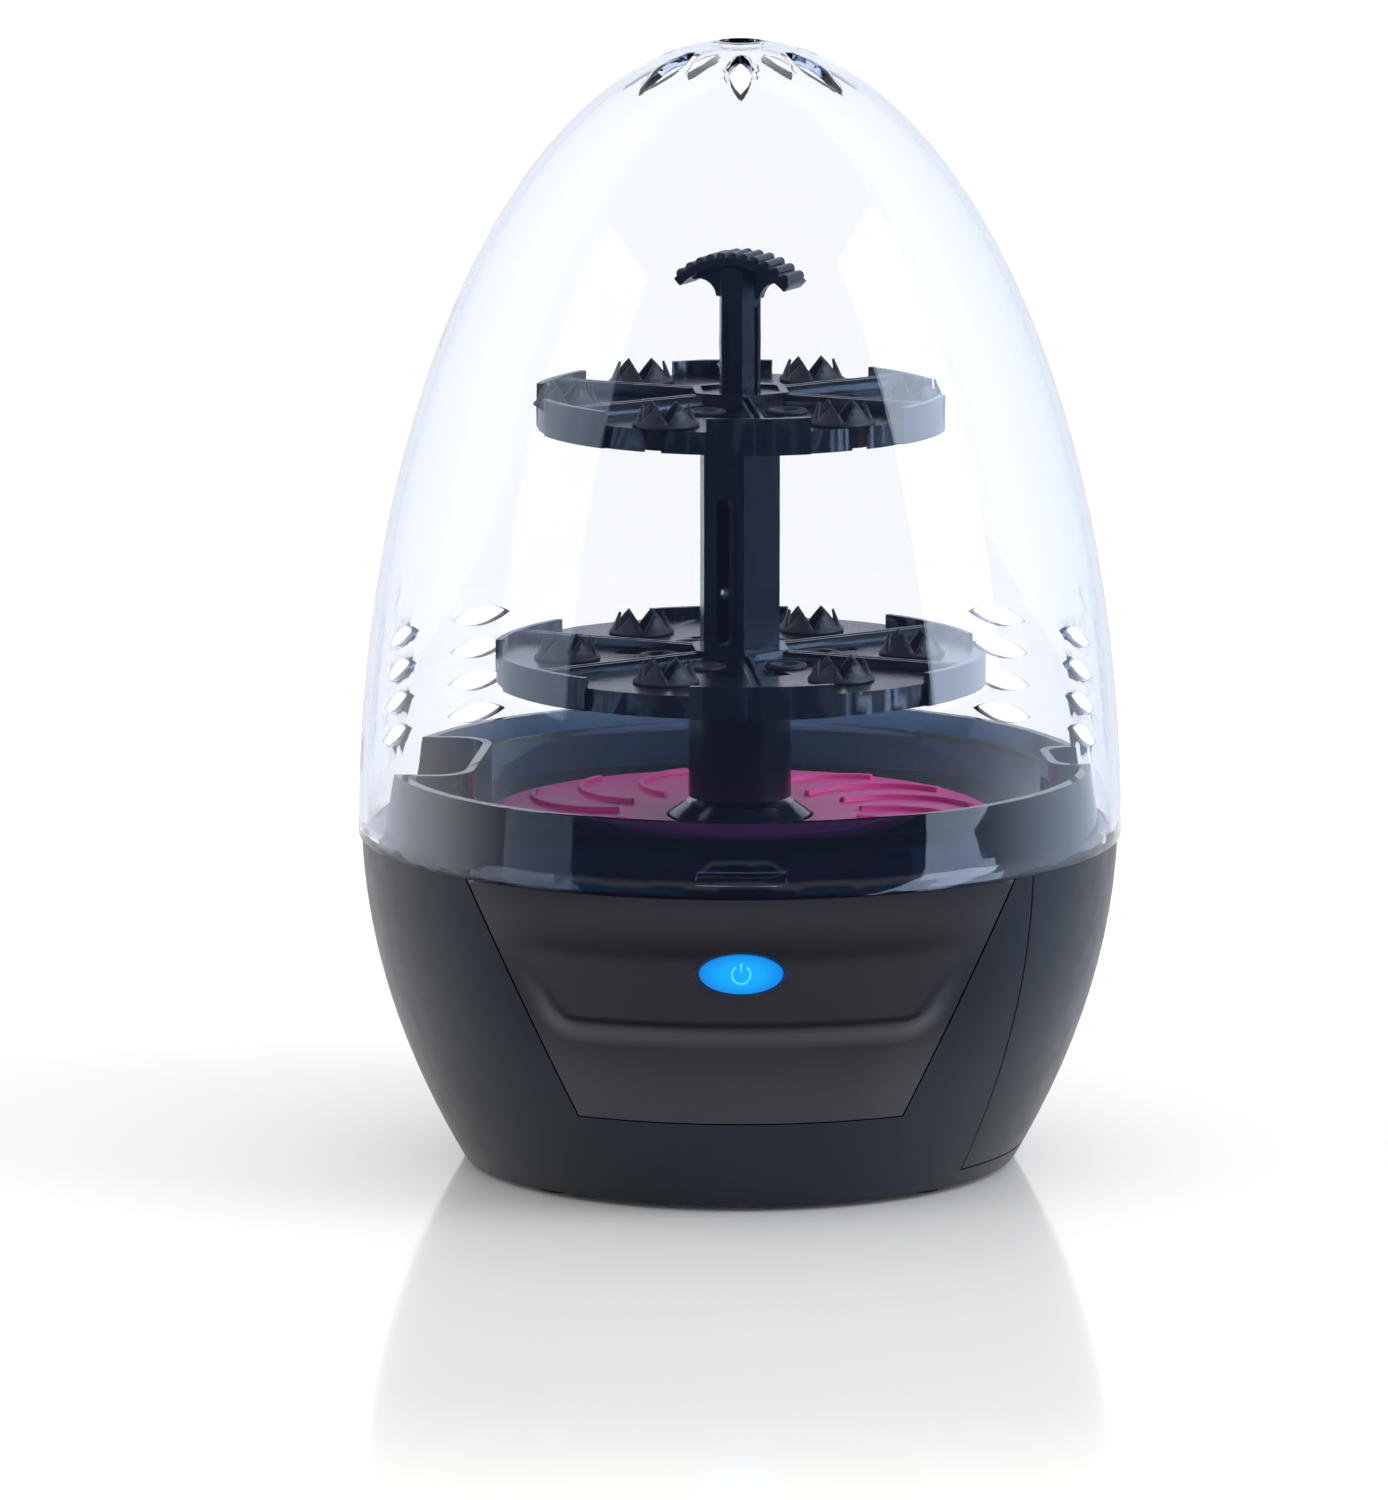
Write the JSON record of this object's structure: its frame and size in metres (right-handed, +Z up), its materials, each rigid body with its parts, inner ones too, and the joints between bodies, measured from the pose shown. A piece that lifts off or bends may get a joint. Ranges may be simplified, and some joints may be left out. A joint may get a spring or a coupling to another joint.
{
  "type": "makeup brush cleaner",
  "caption": "Table-top make-up brush cleaner: motor base with a spinning cleaning disc in a basin, a two-tier brush holder that lifts, and a clear egg-shaped dome",
  "frame": {"origin": "middle of the face it stands on", "axes": "+Z up, front with the push button faces -Y, +X is the right side seen from the front"},
  "size_m": [0.22, 0.22, 0.3245],
  "materials": {
    "casing": "fine-grained matte charcoal",
    "panel": "satin gunmetal",
    "feet": "matte rubber",
    "screw": "bright zinc",
    "steel": "ground steel",
    "frame": "glass-filled grey",
    "bronze": "sintered bronze",
    "motor_can": "drawn steel can",
    "board": "solder resist",
    "black_plastic": "matte black",
    "lamp": "clear blue",
    "bezel": "satin grey",
    "button": "translucent blue, lit from behind",
    "gear": "natural acetal",
    "magnet": "nickel plate",
    "basin": "smoke-tinted clear plastic",
    "post": "polished black",
    "pad": "pink silicone",
    "holder": "satin black",
    "grip": "soft black rubber",
    "dome": "clear polycarbonate, faint blue"
  },
  "bodies": {
    "base": {"base_shell": "casing", "front_panel": "panel", "base_plate": "casing", "rubber_feet": "feet", "base_screws": "screw", "deck": "casing", "basin_gasket": "feet", "gear_plate": "frame", "lower_bush": "bronze", "upper_bush": "bronze", "motor": "motor_can", "motor_screws": "screw", "board_bracket": "casing", "control_board": "board", "button_switch": "black_plastic", "button_lamp": "lamp", "power_inlet": "black_plastic", "button_bezel": "bezel"},
    "side_cover": {"access_cover": "casing"},
    "button": {"button_cap": "button", "button_spring": "screw"},
    "rotor": {"rotor_shaft": "steel", "rotor_gear": "gear", "magnet_yoke": "steel", "rotor_magnets": "magnet"},
    "pinion": {"motor_shaft": "steel", "motor_pinion": "bronze"},
    "basin": {"basin": "basin", "centre_post": "post"},
    "disc": {"disc_carrier": "post", "disc_magnets": "magnet", "cleaning_pad": "pad"},
    "holder": {"column": "holder", "lower_tray": "holder", "upper_tray": "holder", "lower_grips": "grip", "upper_grips": "grip", "small_grips": "grip"},
    "mast": {"mast": "holder", "handle_grip": "holder", "guide_pin": "screw"},
    "dome": {"dome": "dome"}
  },
  "joints": [
    {"name": "cover_pull", "type": "slide", "parent": "base", "child": "side_cover", "axis": [1, 0, 0], "range_m": [0, 0.03]},
    {"name": "button_press", "type": "slide", "parent": "base", "child": "button", "axis": [0, 1, 0], "range_m": [0, 0.0015], "stiffness_N_per_m": 600, "deforming": ["button_spring"]},
    {"name": "rotor_spin", "type": "hinge", "parent": "base", "child": "rotor", "pos_m": [0, 0, 0.04], "axis": [0, 0, 1], "continuous": true},
    {"name": "pinion_spin", "type": "hinge", "parent": "base", "child": "pinion", "pos_m": [0, 0.04, 0.04], "axis": [0, 0, 1], "continuous": true},
    {"name": "basin_lift", "type": "slide", "parent": "base", "child": "basin", "axis": [0, 0, 1], "range_m": [0, 0.06]},
    {"name": "disc_spin", "type": "hinge", "parent": "basin", "child": "disc", "pos_m": [0, 0, 0.093], "axis": [0, 0, 1], "continuous": true},
    {"name": "holder_lift", "type": "slide", "parent": "basin", "child": "holder", "axis": [0, 0, 1], "range_m": [0, 0.15]},
    {"name": "mast_slide", "type": "slide", "parent": "holder", "child": "mast", "axis": [0, 0, 1], "range_m": [-0.0115, 0.022]},
    {"name": "dome_lift", "type": "slide", "parent": "holder", "child": "dome", "axis": [0, 0, 1], "range_m": [0, 0.26]}
  ],
  "couplings": [
    {"joint": "disc_spin", "follows": "rotor_spin", "ratio": 1},
    {"joint": "pinion_spin", "follows": "rotor_spin", "ratio": -3}
  ]
}
